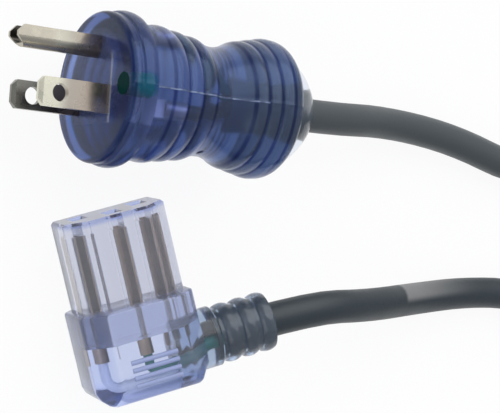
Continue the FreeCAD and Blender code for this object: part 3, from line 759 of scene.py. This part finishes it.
# Painted highlight: a lighter stretch on the cord's upper side that fades along the cord.
painted_highlight = product(tree, ramp(tree, along, 0.0745, 0.0762), ramp(tree, along, 0.108, 0.079))
painted_highlight = product(tree, painted_highlight, ramp(tree, upper_side.outputs[0], -0.0532, -0.0512))
lighter = colour_mix(tree, product(tree, painted_highlight, connector_shade), shaded_slate, (0.2, 0.2, 0.2))
tree.links.new(lighter, jacket_shader.inputs["Base Color"])
grained(jacket, jacket_shader, 900.0, 0.00004)
cord_curve.materials.append(jacket)
print("nodes in the jacket:", len(tree.nodes))

# %% [markdown]
# ## Metal and small pieces
# The blades are nickel plated and darker and browner towards the face. The lower blade and the inside of
# the pin's channel get painted shade, the upper blade has painted light and shade that is lighter
# towards its tip, and what is moulded into the body looks warmer. The contacts are bare brass, and the
# conductors
# are plain PVC: the plug's neutral conductor is a darker, bluer copy of the connector's, painted with
# the shade of the blue plastic around it.

# %% Plating and brass
plating, plate = finish_with("nickel_plating", (0.72, 0.69, 0.6), 220.0, (0.22, 0.36))
plate.inputs["Metallic"].default_value = 1.0
tree = plating.node_tree
along, across, height = places(tree)
# Painted shade on the lower blade.
lower_blade = ramp(tree, height, 0.0138, 0.013)
nickel = colour_mix(tree, lower_blade, (0.56, 0.54, 0.45), (0.23, 0.225, 0.2))
front = ramp(tree, along, -0.027, -0.031)
upper_blade = ramp(tree, height, 0.0215, 0.0225)
# Painted light and shade on the upper blade: lighter towards its tip, darker behind it.
upper_blade_light_and_shade = colour_mix(tree, front, (0.43, 0.39, 0.34), (0.68, 0.66, 0.54))
nickel = colour_mix(tree, upper_blade, nickel, upper_blade_light_and_shade)
on_pin = ramp(tree, across, 0.004, 0.006)
nickel = colour_mix(tree, product(tree, on_pin, front), nickel, (0.47, 0.435, 0.36))
# Painted shade inside the pin's channel.
in_channel = product(tree, ramp(tree, height, plug_axis - 0.00175, plug_axis - 0.0016),
                     ramp(tree, height, plug_axis + 0.00175, plug_axis + 0.0016))
in_channel = product(tree, in_channel, ramp(tree, across, 0.00705, 0.0072))
nickel = colour_mix(tree, in_channel, nickel, (0.07, 0.065, 0.055))
foot = colour_mix(tree, upper_blade, (0.29, 0.225, 0.18), (0.5, 0.4, 0.31))
nickel = colour_mix(tree, ramp(tree, along, -0.029, -0.0182), nickel, foot)
nickel = colour_mix(tree, ramp(tree, along, -0.0175, -0.0155), nickel, (0.75, 0.6, 0.55))
tree.links.new(nickel, plate.inputs["Base Color"])
grained(plating, plate, 500.0, 0.00001)
brass, brass_shader = finish_with("contact_brass", (0.4, 0.3, 0.21), 180.0, (0.3, 0.45))
brass_shader.inputs["Metallic"].default_value = 1.0
print("nodes in the plating:", len(tree.nodes))

# %% Peg, conductors and straps
green_peg, peg_shader = finish_with("green_peg", (0.002, 0.04, 0.038), 150.0, (0.25, 0.35))
peg_shader.inputs["Specular IOR Level"].default_value = 0.015
tree = green_peg.node_tree
inside = ramp(tree, places(tree)[0], -0.0177, -0.0172)
peg_green = colour_mix(tree, inside, (0.001, 0.028, 0.026), (0.002, 0.13, 0.11))
tree.links.new(peg_green, peg_shader.inputs["Base Color"])
wire_gloss = (0.35, 0.45)
black_wire, _ = finish_with("black_insulation", (0.012, 0.012, 0.016), 150.0, wire_gloss)
# Painted shade: the plug's white conductor is a darker, bluer copy, as if shaded by the plastic around
# it.
shaded_white_wire, _ = finish_with("white_insulation", (0.33, 0.36, 0.44), 150.0, wire_gloss)
pale_wire, _ = finish_with("pale_insulation", (0.8, 0.82, 0.87), 150.0, wire_gloss)
green_wire, _ = finish_with("green_insulation", (0.008, 0.17, 0.13), 150.0, wire_gloss)
strap, strap_shader = finish_with("tie_strap", (0.02, 0.02, 0.022), 300.0, (0.6, 0.8))
grained(strap, strap_shader, 1600.0, 0.00025)
print("finishes:", len(bpy.data.materials))

# %% [markdown]
# ## Dressing
# The CAD nodes that stay get their finishes by name, and the skins get theirs.


# %% Dress the CAD nodes that stay
def dress(material, *names):
    """Gives CAD nodes a finish in place of the one they came with."""
    for name in names:
        nodes[name].data.materials.clear()
        nodes[name].data.materials.append(material)
    print(material.name, "on", len(names))


dress(plating, "line_blade", "neutral_blade", "ground_pin")
dress(brass, "line_contact", "neutral_contact", "earth_contact")
dress(green_peg, "green_dot")
dress(black_wire, "plug_line_wire", "connector_line_wire")
dress(shaded_white_wire, "plug_neutral_wire")
dress(pale_wire, "connector_neutral_wire")
dress(green_wire, "plug_ground_wire", "connector_earth_wire")
dress(strap, "coil_tie_plug_side", "coil_tie_connector_side")
dress(insert_plastic, "contact_insert")
dress(bridge_plastic, "blade_bridge")

# %% Dress the skins
plug_skin.data.materials.append(blue_plastic)
plug_skin.data.materials.append(seam_frost)
tail_skin.data.materials.append(pale_plastic)
elbow.data.materials.append(clear_plastic)
elbow.data.materials.append(grip_frost)
relief.data.materials.append(sleeve_plastic)
skins = (plug_skin, tail_skin, elbow, relief)
print("finishes on the skins:", sum(len(skin.data.materials) for skin in skins))
